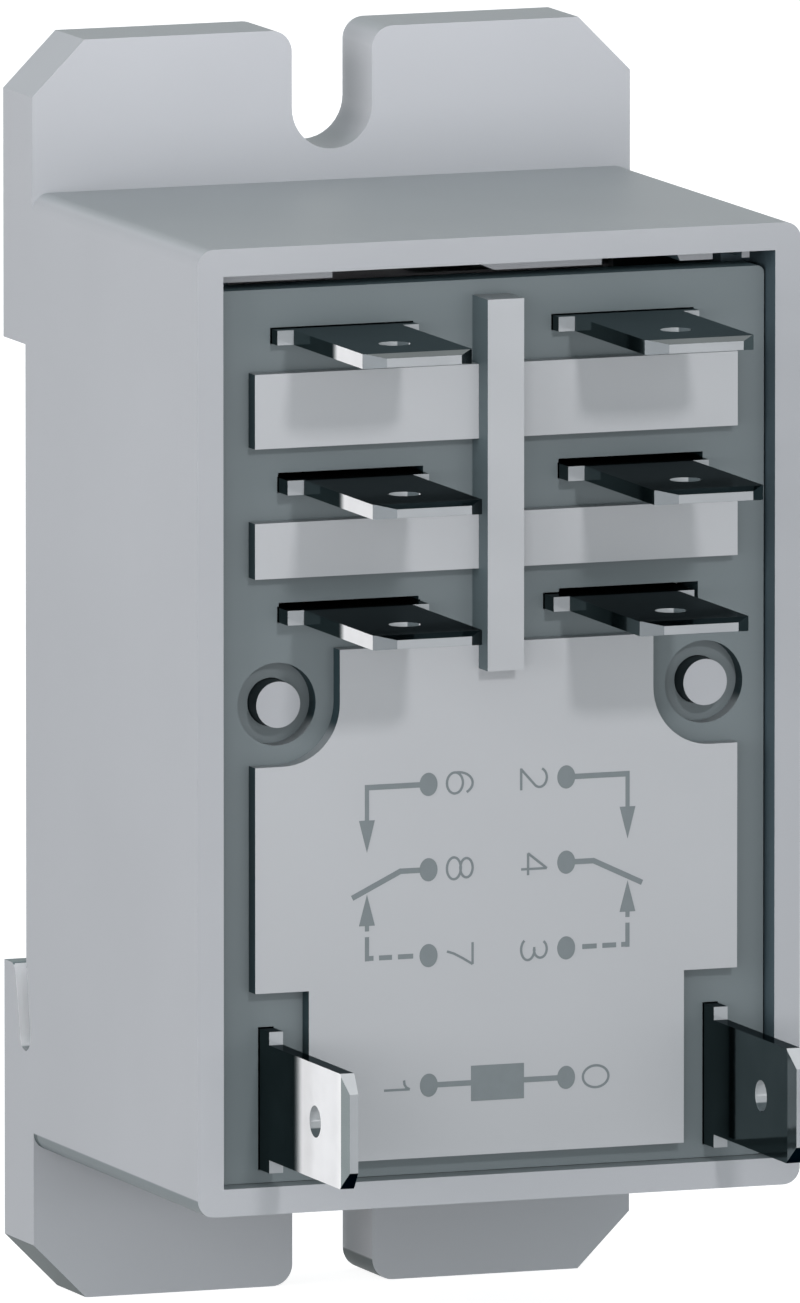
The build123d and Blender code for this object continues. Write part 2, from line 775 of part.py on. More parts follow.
def make_parts():
    """Every separate piece by its name."""
    parts = {
        "cover": make_cover(),
        "terminal_base": make_base(),
        "yoke": make_yoke(),
        "core": make_core(),
        "bobbin": make_bobbin(),
        "coil_winding": make_winding(),
        "armature": make_armature(),
        "contact_carrier": make_carrier(),
        "hinge_spring": make_hinge_spring(),
        "armature_rivet": make_armature_rivet(),
        "yoke_rivets": make_yoke_rivets(),
    }
    tabs = {
        "left": (-1, no_left, com_left, nc_left, coil_left),
        "right": (1, no_right, com_right, nc_right, coil_right),
    }
    for name, (side, no_x, com_x, nc_x, coil_x) in tabs.items():
        parts[f"terminal_no_{name}"] = make_no_terminal(side, no_x)
        parts[f"terminal_com_{name}"] = make_com_terminal(side, com_x)
        parts[f"terminal_nc_{name}"] = make_nc_terminal(side, nc_x)
        parts[f"coil_terminal_{name}"] = make_coil_terminal(coil_x)
        parts[f"coil_lead_{name}"] = make_coil_lead(side, coil_x)
        parts[f"contact_arm_{name}"] = make_arm(side)
        parts[f"arm_rivet_{name}"] = make_arm_rivet(side)
        parts[f"moving_contact_{name}"] = make_moving_contact(side)
        parts[f"no_contact_{name}"] = make_fixed_contact(side, contact_z, no_face, -1)
        parts[f"nc_contact_{name}"] = make_fixed_contact(side, nc_contact_z, nc_face, 1)
        parts[f"braid_{name}"] = make_braid(side)
    return parts


os.makedirs("parts", exist_ok=True)
for node, shape in make_parts().items():
    export_step(shape, f"parts/{node}.step")
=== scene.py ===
"""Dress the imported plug-in power relay: finishes, printed diagram, winding, braids, light and camera."""

import logging
import math
from dataclasses import dataclass, field
from enum import Enum
from functools import reduce

import bmesh
import bpy
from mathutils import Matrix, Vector


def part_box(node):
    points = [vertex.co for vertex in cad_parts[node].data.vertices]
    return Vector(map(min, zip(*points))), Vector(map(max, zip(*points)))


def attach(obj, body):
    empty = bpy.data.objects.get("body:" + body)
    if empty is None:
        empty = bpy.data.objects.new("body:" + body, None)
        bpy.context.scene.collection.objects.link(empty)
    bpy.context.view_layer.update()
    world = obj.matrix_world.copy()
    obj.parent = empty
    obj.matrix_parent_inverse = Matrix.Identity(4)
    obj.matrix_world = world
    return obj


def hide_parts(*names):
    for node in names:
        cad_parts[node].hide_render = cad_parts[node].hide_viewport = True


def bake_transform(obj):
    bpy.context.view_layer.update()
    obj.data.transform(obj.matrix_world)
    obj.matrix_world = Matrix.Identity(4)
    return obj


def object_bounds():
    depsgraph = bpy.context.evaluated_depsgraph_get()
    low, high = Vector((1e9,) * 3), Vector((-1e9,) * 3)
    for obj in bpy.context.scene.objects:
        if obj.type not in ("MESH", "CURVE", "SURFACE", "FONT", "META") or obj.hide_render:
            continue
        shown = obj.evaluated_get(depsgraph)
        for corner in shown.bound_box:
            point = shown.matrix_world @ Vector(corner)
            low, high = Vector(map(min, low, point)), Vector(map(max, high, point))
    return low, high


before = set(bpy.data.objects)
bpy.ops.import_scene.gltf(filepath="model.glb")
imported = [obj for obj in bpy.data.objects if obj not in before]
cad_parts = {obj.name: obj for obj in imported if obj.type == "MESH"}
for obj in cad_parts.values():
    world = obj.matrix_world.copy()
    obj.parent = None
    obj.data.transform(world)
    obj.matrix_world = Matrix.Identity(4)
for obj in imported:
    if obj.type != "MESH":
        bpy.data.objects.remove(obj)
cad_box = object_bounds()

LOG = logging.getLogger("relay")
MM = 0.001

Point = tuple[float, float]
Triple = tuple[float, float, float]
Colour = Triple
Socket = bpy.types.NodeSocket
Coat = tuple[Socket, object]
Feeds = dict[str | int, object]


class Body(Enum):
    """The two CAD bodies that a piece can ride on."""

    HOUSING = "housing"
    ARMATURE = "armature_group"


class Slot(Enum):
    """Material slots of the record, one for each kind of new piece."""

    BASE = "base_plastic"
    COPPER_WIRE = "enamelled_copper"
    BRAID = "copper_braid"
    SPRING = "spring_steel"


class MarkKind(Enum):
    """Shapes that the printed diagram is built from."""

    BAR = 0
    DOT = 1
    ARROW = 2


def tint(code: str) -> Colour:
    """Turn a display colour into the linear values that a shader takes.

    Args:
        code: Six hexadecimal digits, red, green and blue.

    Returns:
        Linear red, green and blue.
    """
    parts = [int(code[i:i + 2], 16) / 255 for i in (0, 2, 4)]
    linear = [c / 12.92 if c <= 0.04045 else ((c + 0.055) / 1.055) ** 2.4 for c in parts]
    return linear[0], linear[1], linear[2]


class NodeBuilder:
    """A node tree that is being put together."""

    def __init__(self, tree: bpy.types.NodeTree) -> None:
        """Empty the tree and take it over."""
        self.tree = tree
        self.tree.nodes.clear()

    def put(self, target: Socket, value: object) -> None:
        """Link an input, or set it to a fixed value.

        Args:
            target: Input socket.
            value: A socket to link, or a number, a colour, a vector or a text.
        """
        if isinstance(value, bpy.types.NodeSocket):
            self.tree.links.new(value, target)
        elif isinstance(value, tuple) and target.type == "RGBA":
            target.default_value = (*value, 1.0)
        else:
            target.default_value = value

    def add(self, kind: str, feeds: Feeds | None = None, **settings: object) -> bpy.types.Node:
        """Add a node.

        Args:
            kind: Type name of the node.
            feeds: Names or numbers of inputs, each with a socket or a value.
            **settings: Properties to set on it first.

        Returns:
            The new node.
        """
        node = self.tree.nodes.new(kind)
        for key, value in settings.items():
            setattr(node, key, value)
        for key, value in (feeds or {}).items():
            self.put(node.inputs[key], value)
        return node

    def step(self, kind: str, feeds: Feeds, **settings: object) -> Socket:
        """Add a node and give its first output."""
        return self.add(kind, feeds, **settings).outputs[0]

    def calc(self, operation: str, first: object, second: object = 0.0) -> Socket:
        """Do one sum on two numbers or sockets."""
        return self.step("ShaderNodeMath", {0: first, 1: second}, operation=operation)

    def chain(self, operation: str, *values: Socket) -> Socket:
        """Do one sum on several sockets in turn."""
        return reduce(lambda first, second: self.calc(operation, first, second), values)

    def vector(self, operation: str, feeds: Feeds) -> Socket:
        """Do one sum on vectors."""
        return self.step("ShaderNodeVectorMath", feeds, operation=operation)

    def seen_directly(self) -> Socket:
        """Mask of what the camera sees, also in gloss and through glass."""
        path = self.add("ShaderNodeLightPath").outputs
        return self.chain("MAXIMUM", *(path[f"Is {ray} Ray"] for ray in ("Camera", "Glossy", "Transmission")))


class ShaderBuilder(NodeBuilder):
    """A material with one surface shader, patterned on Object coordinates.

    Its values, with their units, are the place (x, y, z), the direction that the face looks in (side, front,
    up) and the same without their signs (width and height, flank and level).
    """

    def __init__(self, name: str) -> None:
        """Start the material.

        Args:
            name: Name of the material.
        """
        self.material = bpy.data.materials.new(name)
        self.material.use_nodes = True
        super().__init__(self.material.node_tree)
        self.surface = self.add("ShaderNodeBsdfPrincipled")
        self.add("ShaderNodeOutputMaterial", {"Surface": self.surface.outputs["BSDF"]})
        coordinates = self.add("ShaderNodeTexCoord").outputs
        self.place = self.step("ShaderNodeMapping", {"Vector": coordinates["Object"]})
        turns = self.add("ShaderNodeSeparateXYZ", {0: coordinates["Normal"]}).outputs
        places = self.add("ShaderNodeSeparateXYZ", {0: self.place}).outputs
        self.values = {name: (value, MM) for name, value in zip("xyz", places)}
        self.values |= {name: (value, 1.0) for name, value in zip(("side", "front", "up"), turns)}
        for name, source in {"width": "x", "height": "z", "flank": "side", "level": "up"}.items():
            value, unit = self.values[source]
            self.values[name] = self.calc("ABSOLUTE", value), unit

    def dress(self, **values: object) -> None:
        """Link or set inputs of the surface shader, named with _ for a space."""
        for name, value in values.items():
            self.put(self.surface.inputs[name.replace("_", " ")], value)

    def ramp(self, value: Socket, *ends: float, **settings: object) -> Socket:
        """Map a range, given by its two ends, onto another, given by the next two."""
        names = ("From Min", "From Max", "To Min", "To Max")
        return self.step("ShaderNodeMapRange", {"Value": value, **dict(zip(names, ends))}, **settings)

    def zone(self, **steps: Point) -> Socket:
        """Mask of the places where every step is passed.

        Args:
            **steps: For the name of a value, the value where the mask is 0 and the one where it is 1.

        Returns:
            A socket between 0 and 1.
        """
        masks = []
        for name, step in steps.items():
            value, unit = self.values[name]
            ends = (*step, 0.0, 1.0) if step[0] < step[1] else (*step[::-1], 1.0, 0.0)
            scaled = (end * unit for end in ends[:2])
            masks.append(self.ramp(value, *scaled, *ends[2:], interpolation_type="SMOOTHSTEP"))
        return self.chain("MULTIPLY", *masks)

    def layers(self, tone: object, *coats: Coat) -> Socket:
        """Lay colours or numbers over one another.

        Args:
            tone: Colour, number or socket at the bottom.
            *coats: For each further one its mask and itself, from the bottom up.

        Returns:
            The mixture.
        """
        for mask, over in coats:
            tone = self.add("ShaderNodeMix", {0: mask, 6: tone, 7: over}, data_type="RGBA").outputs[2]
        return tone

    def noise(self, size: float, stretch: Triple = (1.0, 1.0, 1.0), detail: float = 2.0) -> Socket:
        """Noise with features of a size in millimetres, finer along an axis where the stretch is larger."""
        scaled = self.step("ShaderNodeMapping", {"Vector": self.place, "Scale": stretch})
        return self.step("ShaderNodeTexNoise", {"Vector": scaled, "Scale": 1 / (size * MM), "Detail": detail})

    def shade(self, colour: object, pattern: Socket, amount: float) -> Socket:
        """Lighten and darken a colour by a noise, at most by a share of it."""
        factor = self.ramp(pattern, 0.25, 0.75, 1 - amount, 1 + amount)
        return self.vector("SCALE", {0: colour, "Scale": factor})

    def relief(self, height: Socket, depth: float, strength: float) -> None:
        """Raise the surface by a pattern, its full height in millimetres."""
        feeds = {"Height": height, "Distance": depth * MM, "Strength": strength}
        self.dress(Normal=self.step("ShaderNodeBump", feeds))


@dataclass(frozen=True)
class Finish:
    """A finish with one tone, a little mottling and a fine grain."""

    name: str
    colour: Colour
    roughness: float
    metallic: float = 0.0
    mottle: float = 0.02
    mottle_size: float = 12.0
    grain_size: float = 0.35
    grain_depth: float = 0.01
    grain_strength: float = 0.25
    specular: float = 0.5

    def tone(self, shader: ShaderBuilder) -> object:
        """Colour before mottling; finishes with more than one tone replace this."""
        return self.colour

    def extras(self, shader: ShaderBuilder) -> None:
        """Further settings; finishes that need them replace this."""

    def build(self) -> bpy.types.Material:
        """Make the material.

        Returns:
            The finished material.
        """
        shader = ShaderBuilder(self.name)
        mottled = shader.shade(self.tone(shader), shader.noise(self.mottle_size), self.mottle)
        shader.dress(Base_Color=mottled, Roughness=self.roughness)
        shader.dress(Metallic=self.metallic, Specular_IOR_Level=self.specular)
        shader.relief(shader.noise(self.grain_size, detail=3.0), self.grain_depth, self.grain_strength)
        self.extras(shader)
        return shader.material


@dataclass(frozen=True)
class CoverFinish(Finish):
    """Pale moulding with painted shade where its faces look left, up or down, painted shade in the cavity and
    the rail channel, and a painted highlight on the latch tongue.

    Each turn or range says at which direction or place a tone starts, and at which it is full.
    """

    # Painted shade: outer faces that look left, up or down take darker tones, and the ear's lower chamfer
    # takes the darkest.
    left_side_shade_colour: Colour = tint("acafb3")
    top_face_shading_colour: Colour = tint("aeb3b6")
    underside_shade_colour: Colour = tint("6e777a")
    ear_chamfer_shade_colour: Colour = tint("3c494b")
    # Painted shadow in the rail channel under the latch, and a painted highlight on the latch tongue's front
    # face.
    channel_shadow_colour: Colour = tint("6f8082")
    latch_highlight_colour: Colour = tint("f8fafc")
    # Painted shade in the cavity: its walls, the right wall, the bottom wall and the stake pins' sides; the
    # ledges' front faces stay pale.
    shade_colour: Colour = tint("42525a")
    right_wall_shade_colour: Colour = tint("4b5b62")
    bottom_wall_shade_colour: Colour = tint("8c9598")
    pin_shade_colour: Colour = tint("18262a")
    left_turn: Point = (-0.6, -0.9)
    low_turn: Point = (-0.04, -0.12)
    top_turn: Point = (0.6, 0.9)
    chamfer_turn: Point = (-0.95, -0.85)
    front_turn: Point = (-0.5, -0.75)
    wall_turn: Point = (-0.5, -0.75)
    sill_turn: Point = (0.5, 0.75)
    left_range: Point = (-10.0, -10.1)
    ear_range: Point = (-5.2, -5.19)
    cavity_width: Point = (16.03, 16.02)
    cavity_height: Point = (24.99, 24.98)
    cavity_depth: Point = (-5.99, -6.0)
    ledge_depth: Point = (-28.99, -29.0)
    pin_place: Point = (12.4, 1.27)
    pin_reach: Point = (1.31, 1.3)
    pin_depth: Point = (-26.69, -26.7)
    channel_height: Point = (-15.4, -15.41)
    latch_height: Point = (-16.4, -16.41)
    rear_height: Point = (-21.0, -20.99)
    rear_depth: Point = (-4.4, -4.39)

    def tone(self, shader: ShaderBuilder) -> Socket:
        """Lay the painted shade of the cavity, the painted shadow of the rail channel and the painted
        highlight of the latch over the painted shading of the outer faces.

        Args:
            shader: Material that wears the finish.

        Returns:
            The colour before mottling.
        """
        # Painted shade on the outer faces, chosen by the way that each one looks.
        chamfer = shader.zone(y=self.ear_range, up=self.chamfer_turn)
        low = shader.layers(self.underside_shade_colour, (chamfer, self.ear_chamfer_shade_colour))
        outer_face_shading = shader.layers(
            self.colour, (shader.zone(side=self.left_turn, x=self.left_range), self.left_side_shade_colour),
            (shader.zone(up=self.low_turn), low), (shader.zone(up=self.top_turn), self.top_face_shading_colour))
        squares = []
        for name, middle in zip(("width", "z"), self.pin_place):
            off = shader.calc("SUBTRACT", shader.values[name][0], middle * MM)
            squares.append(shader.calc("MULTIPLY", off, off))
        shader.values["reach"] = shader.calc("SQRT", shader.chain("ADD", *squares)), MM
        # Painted shade of the cavity, chosen by the way that each face looks.
        cavity_shade = shader.layers(
            self.shade_colour, (shader.zone(side=self.wall_turn), self.right_wall_shade_colour),
            (shader.zone(up=self.sill_turn), self.bottom_wall_shade_colour),
            (shader.zone(reach=self.pin_reach, y=self.pin_depth), self.pin_shade_colour),
            (shader.zone(front=self.front_turn, y=self.ledge_depth), self.colour))
        cavity = shader.zone(width=self.cavity_width, height=self.cavity_height, y=self.cavity_depth)
        # Painted shadow in the channel and painted highlight on the latch.
        rear = shader.zone(z=self.rear_height, y=self.rear_depth)
        channel = shader.calc("MULTIPLY", rear, shader.zone(up=self.top_turn, z=self.channel_height))
        latch = shader.calc("MULTIPLY", rear, shader.zone(front=self.front_turn, z=self.latch_height))
        return shader.layers(
            outer_face_shading, (cavity, cavity_shade), (channel, self.channel_shadow_colour), (latch, self.latch_highlight_colour))


@dataclass(frozen=True)
class BaseFinish(Finish):
    """Dark moulding with pale lands, painted shade on walls that face sideways and in the gap under the top
    edge, and a painted mid tone on faces that look up.
    """

    # The lands darken towards the bottom: painted shade.
    land_colour: Colour = tint("c4c7ca")
    low_land_shade_colour: Colour = tint("bbbec1")
    land_height: Point = (-22.0, 22.0)
    # Painted shade on the walls that face sideways, a little lighter on the rib's walls.
    wall_shade_colour: Colour = tint("26393e")
    rib_wall_shade_colour: Colour = tint("5a686c")
    # Painted mid tone on the faces that look up, and painted shade in the gap under the cover's top wall.
    top_face_shading_colour: Colour = tint("93999c")
    top_gap_shade_colour: Colour = (0.21, 0.31, 0.34)
    edge_range: Point = (23.8, 23.85)
    wall_turn: Point = (0.3, 0.6)
    land_turn: Point = (-0.6, -0.8)
    land_depth: Point = (-29.6, -29.62)
    rib_width: Point = (1.31, 1.3)

    def tone(self, shader: ShaderBuilder) -> Socket:
        """Pick the tone, with its painted light and shade, by the height above the floor and by the way that
        the face looks.

        Args:
            shader: Material that wears the finish.

        Returns:
            The colour before mottling.
        """
        wall = shader.layers(self.wall_shade_colour, (shader.zone(width=self.rib_width), self.rib_wall_shade_colour))
        top = shader.layers(self.top_face_shading_colour, (shader.zone(z=self.edge_range), self.top_gap_shade_colour))
        land = shader.layers(self.low_land_shade_colour, (shader.zone(z=self.land_height), self.land_colour))
        return shader.layers(
            self.colour, (shader.zone(flank=self.wall_turn), wall), (shader.zone(up=self.wall_turn), top),
            (shader.zone(y=self.land_depth, front=self.land_turn), land))


@dataclass(frozen=True)
class MetalFinish(Finish):
    """Metal with drawing lines along one direction, which its roughness follows."""

    metallic: float = 1.0
    mottle: float = 0.06
    mottle_size: float = 3.0
    grain_strength: float = 0.1
    line_size: float = 0.12
    line_stretch: Triple = (1.0, 0.05, 1.0)
    line_range: Point = (0.7, 1.3)

    def extras(self, shader: ShaderBuilder) -> None:
        """Let the roughness follow the drawing lines."""
        lines = shader.noise(self.line_size, self.line_stretch, detail=3.0)
        shader.dress(Roughness=shader.ramp(lines, 0.0, 1.0, *(self.roughness * c for c in self.line_range)))


@dataclass(frozen=True)
class TabFinish(MetalFinish):
    """Tin whose blades carry a painted reflection that darkens them at a glance, with painted highlights on
    the front faces of the sheared ends and on the left-hand outer halves, and painted shade in the holes.
    """

    # Painted reflection: the flanks and the front corners take darker metal tones, and the glancing
    # reflection is tinted by row and on the bevels.
    flank_reflection_colour: Colour = (0.25, 0.285, 0.29)
    tin_colour: Colour = (0.62, 0.63, 0.62)
    upper_row_reflection_tint: Colour = (0.265, 0.32, 0.335)
    lower_row_reflection_tint: Colour = (0.13, 0.149, 0.157)
    bevel_reflection_tint: Colour = (0.42, 0.42, 0.42)
    front_corner_dark_reflection_colour: Colour = (0.118, 0.122, 0.123)
    lower_corner_dark_reflection_colour: Colour = (0.03, 0.035, 0.037)
    # Painted highlights on the front faces, the left and upper corners, the holes and the left-hand outer
    # halves; painted shade on the far side of the holes.
    end_highlight_colour: Colour = tint("aeb2b5")
    painted_highlight_colour: Colour = tint("ffffff")
    left_corner_highlight_colour: Colour = tint("797f82")
    upper_corner_highlight_colour: Colour = tint("d2d5d7")
    hole_highlight_colour: Colour = tint("ccd0d2")
    hole_shade_colour: Colour = tint("6a7477")
    highlight_depth: Point = (-35.9, -36.9)
    coil_highlight_depth: Point = (-34.4, -35.9)
    hole_depths: tuple[Point, Point] = ((-36.0, -36.02), (-39.2, -39.18))
    tin_depth: Point = (-27.1, -27.0)
    row_height: Point = (17.0, 16.9)
    coil_height: Point = (0.0, -1.0)
    left_range: Point = (0.5, -0.5)
    corner_turn: Point = (-0.5, -0.6)
    upper_turn: Point = (0.5, 0.6)
    right_turn: Point = (0.6, 0.5)
    flank_turn: Point = (0.85, 0.95)
    bevel_turns: tuple[Point, Point] = ((0.95, 0.97), (0.997, 0.992))
    highlight_turn: Point = (-0.985, -0.995)
    end_turn: Point = (-0.8, -0.95)
    hole_turn: Point = (0.995, 0.985)
    hole_shade_turn: Point = (-0.45, -0.55)
    end_metal: float = 0.1

    def tone(self, shader: ShaderBuilder) -> Socket:
        """Lay the painted highlights and shade over the bare metal, and tint its glancing reflection as a
        painted reflection.

        Args:
            shader: Material that wears the finish.

        Returns:
            The colour before mottling.
        """
        zones = self.painted_light_zones(shader)
        pale = shader.chain("MAXIMUM", *(mask for mask, _ in zones))
        covered = shader.calc("MULTIPLY", pale, 1.0 - self.end_metal)
        shader.dress(Metallic=shader.calc("SUBTRACT", 1.0, covered))
        # Painted reflection: the glancing tint is darker on the lower rows, lighter on the bevels and black
        # on the flanks and right-hand front corners; the tin inside the housing stays plain.
        flank, tin = shader.zone(flank=self.flank_turn), shader.zone(y=self.tin_depth)
        bevel = shader.chain("MULTIPLY", *(shader.zone(up=turn) for turn in self.bevel_turns))
        dark_reflection = shader.calc("MAXIMUM", flank, shader.zone(front=self.corner_turn, side=self.right_turn))
        shader.dress(Specular_Tint=shader.layers(
            self.upper_row_reflection_tint, (bevel, self.bevel_reflection_tint), (shader.zone(z=self.row_height), self.lower_row_reflection_tint),
            (dark_reflection, (0.0, 0.0, 0.0)), (tin, (1.0, 1.0, 1.0))))
        # Painted reflection: darker metal on the flanks and the front corners.
        return shader.layers(
            self.colour, (flank, self.flank_reflection_colour),
            (shader.zone(front=self.corner_turn), self.front_corner_dark_reflection_colour),
            (shader.zone(front=self.corner_turn, up=self.corner_turn), self.lower_corner_dark_reflection_colour),
            (tin, self.tin_colour), *zones)

    def painted_light_zones(self, shader: ShaderBuilder) -> list[Coat]:
        """Find the parts of the blades that take a painted highlight or painted shade.

        Args:
            shader: Material that wears the finish.

        Returns:
            A mask and a colour for each painted highlight, on the left-hand outer halves, two kinds of
            corners and the ends, and for the holes' painted highlight and shade.
        """
        # Painted highlight on the left-hand faces beyond a depth, starting sooner on the coil tabs.
        reach, coil_reach = (shader.zone(y=step) for step in (self.highlight_depth, self.coil_highlight_depth))
        bright = shader.calc(
            "MULTIPLY", shader.zone(side=self.highlight_turn, x=self.left_range),
            shader.layers(reach, (shader.zone(z=self.coil_height), coil_reach)))
        near, far = self.hole_depths
        hole = shader.calc(
            "MULTIPLY", shader.zone(level=self.hole_turn, flank=self.hole_turn, y=near), shader.zone(y=far))
        # Painted shade on the far side of each hole.
        shade = shader.calc(
            "MAXIMUM", shader.zone(side=self.hole_shade_turn), shader.zone(up=self.upper_turn))
        return [
            (bright, self.painted_highlight_colour),
            (shader.zone(front=self.corner_turn, side=self.corner_turn), self.left_corner_highlight_colour),
            (shader.zone(front=self.corner_turn, up=self.upper_turn), self.upper_corner_highlight_colour),
            (shader.zone(front=self.end_turn), self.end_highlight_colour),
            (hole, shader.layers(self.hole_highlight_colour, (shade, self.hole_shade_colour))),
        ]


@dataclass(frozen=True)
class WireFinish(MetalFinish):
    """Copper under a coat of clear enamel."""

    coat: float = 0.8
    coat_roughness: float = 0.1

    def extras(self, shader: ShaderBuilder) -> None:
        """Add the enamel coat."""
        super().extras(shader)
        shader.dress(Coat_Weight=self.coat, Coat_Roughness=self.coat_roughness)


@dataclass
class Wardrobe:
    """Every finish of the relay and the CAD nodes that wear it."""

    cover: Finish = CoverFinish("cover_plastic", tint("b8bbbf"), 0.5, specular=0.25)
    base: Finish = BaseFinish("base_plastic", tint("788285"), 0.5, specular=0.3)
    ink: Finish = Finish("marking_ink", tint("788184"), 0.6, mottle=0.03, mottle_size=0.6)
    tab: Finish = TabFinish("plated_blade", (0.27, 0.3, 0.305), 0.07)
    carrier: Finish = Finish("carrier_plastic", tint("303234"), 0.55)
    bobbin: Finish = Finish("bobbin_plastic", tint("e2ddcf"), 0.5)
    iron: Finish = MetalFinish("magnet_iron", tint("b9b8b3"), 0.35, line_stretch=(1.0, 1.0, 0.05))
    rivet: Finish = MetalFinish("rivet_steel", tint("c4c5c6"), 0.25, line_stretch=(1.0, 1.0, 1.0))
    spring: Finish = MetalFinish("spring_steel", tint("cdd0d2"), 0.2, line_stretch=(1.0, 1.0, 0.05))
    arm: Finish = MetalFinish("copper_alloy", tint("d08a5c"), 0.3, line_stretch=(1.0, 1.0, 0.05))
    contact: Finish = MetalFinish("silver_alloy", tint("dddcd6"), 0.25, line_stretch=(1.0, 1.0, 1.0))
    wire: Finish = WireFinish("enamelled_copper", tint("a8552c"), 0.25)
    braid: Finish = MetalFinish("copper_braid", tint("c47d52"), 0.35)
    made: dict[str, bpy.types.Material] = field(default_factory=dict)

    def get(self, finish: Finish) -> bpy.types.Material:
        """The material of a finish, made on first use.

        Args:
            finish: One of the finishes above.

        Returns:
            Its material.
        """
        if finish.name not in self.made:
            self.made[finish.name] = finish.build()
        return self.made[finish.name]

    def dress_cad(self) -> None:
        """Give every carried-over CAD node the finish whose start of a name fits it best."""
        by_start = {
            "cover": self.cover, "terminal_base": self.base, "terminal": self.tab, "coil_terminal": self.tab,
            "contact_carrier": self.carrier, "bobbin": self.bobbin, "yoke_rivets": self.rivet,
            "yoke": self.iron, "core": self.iron, "armature_rivet": self.rivet, "armature": self.iron,
            "arm_rivet": self.rivet, "contact_arm": self.arm, "moving_contact": self.contact,
            "no_contact": self.contact, "nc_contact": self.contact, "coil_lead": self.wire,
            "coil_winding": self.wire, "braid": self.braid, "hinge_spring": self.spring,
        }
        for name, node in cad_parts.items():
            start = max((s for s in by_start if name.startswith(s)), key=len)
            material = self.get(by_start[start])
            node.data.materials.clear()
            node.data.materials.append(material)
            LOG.info("CAD node %s wears %s", name, material.name)


class GrowthTree(NodeBuilder):
    """A Geometry Nodes tree with named inputs, built here and run once on each piece."""

    def __init__(self, name: str, sizes: dict[str, float], counts: dict[str, int]) -> None:
        """Start a tree.

        Args:
            name: Name of the tree.
            sizes: Named inputs in metres or plain numbers, with their values.
            counts: Named whole-number inputs, with their values.
        """
        super().__init__(bpy.data.node_groups.new(name, "GeometryNodeTree"))
        self.values = {**sizes, **counts}
        kinds = {"Geometry": "Geometry", **dict.fromkeys(sizes, "Float"), **dict.fromkeys(counts, "Int")}
        for key, kind in {**kinds, "Material": "Material"}.items():
            self.tree.interface.new_socket(key, in_out="INPUT", socket_type=f"NodeSocket{kind}")
        self.tree.interface.new_socket("Geometry", in_out="OUTPUT", socket_type="NodeSocketGeometry")
        self.inputs = self.add("NodeGroupInput").outputs

    def attribute(self, name: str, kind: str) -> Socket:
        """Read a named attribute of the given type."""
        return self.step("GeometryNodeInputNamedAttribute", {"Name": name}, data_type=kind)

    def sweep(self, curve: Socket, profile: Socket) -> Socket:
        """Run a closed bar with a profile along a curve."""
        feeds = {"Curve": curve, "Profile Curve": profile, "Fill Caps": True}
        return self.step("GeometryNodeCurveToMesh", feeds)

    def tube(self, curve: Socket, radius: Socket, sides: object) -> Socket:
        """Run a closed round wire of a radius and a number of sides along a curve."""
        ring = self.step("GeometryNodeCurvePrimitiveCircle", {"Resolution": sides, "Radius": radius})
        return self.sweep(curve, ring)

    def close(self, geometry: Socket) -> None:
        """End the tree in plain geometry with its material.

        Args:
            geometry: What the tree has made.
        """
        plain = self.step("GeometryNodeRealizeInstances", {"Geometry": geometry})
        feeds = {"Geometry": plain, "Material": self.inputs["Material"]}
        self.add("NodeGroupOutput", {"Geometry": self.step("GeometryNodeSetMaterial", feeds)})

    def grow(self, name: str, seed: bpy.types.Mesh, material: bpy.types.Material) -> bpy.types.Object:
        """Run the tree on a mesh and keep the result as a plain mesh.

        Args:
            name: Name of the piece.
            seed: Mesh that the tree starts from.
            material: Material of the piece.

        Returns:
            The new object, with no modifier left.
        """
        piece = bpy.data.objects.new(name, seed)
        bpy.context.scene.collection.objects.link(piece)
        modifier = piece.modifiers.new("growth", "NODES")
        modifier.node_group = self.tree
        values = {**self.values, "Material": material}
        for item in self.tree.interface.items_tree:
            if item.item_type == "SOCKET" and item.in_out == "INPUT" and item.name in values:
                modifier[item.identifier] = values[item.name]
        evaluated = piece.evaluated_get(bpy.context.evaluated_depsgraph_get())
        plain = bpy.data.meshes.new_from_object(evaluated)
        piece.modifiers.clear()
        piece.data = plain
        plain.name = name
        return piece


def polyline_mesh(name: str, lines: list[list[Triple]]) -> bpy.types.Mesh:
    """Make a mesh of loose edges.

    Args:
        name: Name of the mesh.
        lines: Runs of points in metres.

    Returns:
        The mesh.
    """
    points: list[Triple] = []
    edges: list[tuple[int, int]] = []
    for line in lines:
        first = len(points)
        closed = line[0] == line[-1]
        run = line[:-1] if closed else line
        points.extend(run)
        edges.extend((i, i + 1) for i in range(first, len(points) - 1))
        if closed:
            edges.append((len(points) - 1, first))
    mesh = bpy.data.meshes.new(name)
    mesh.from_pydata(points, edges, [])
    return mesh


def finish_piece(piece: bpy.types.Object, slot: Slot, smooth: bool) -> None:
    """Set the shading of a new piece.

    Args:
        piece: The piece.
        slot: Material slot of the record; not used.
        smooth: Whether its faces are shaded smooth.
    """
    for polygon in piece.data.polygons:
        polygon.use_smooth = smooth
    LOG.info("piece %s has %d faces", piece.name, len(piece.data.polygons))


@dataclass
class Assembly:
    """A group of new pieces and the finishes that they choose from."""

    wardrobe: Wardrobe


@dataclass(frozen=True)
class Mark:
    """One bar, dot or arrow of the diagram, in millimetres; a higher layer stands a little prouder."""

    kind: MarkKind
    centre: Point
    length: float
    width: float
    turn: float = 0.0
    layer: int = 0


MARK_DATA = {"mark_kind": "INT", "mark_size": "FLOAT_VECTOR", "mark_turn": "FLOAT_VECTOR"}


@dataclass(frozen=True)
class Pole:
    """Places of one change-over contact on the diagram, in millimetres from the middle."""

    side: int
    dot: float
    branch: float
    bend: float
    tip: float
    dashes: tuple[Point, ...]


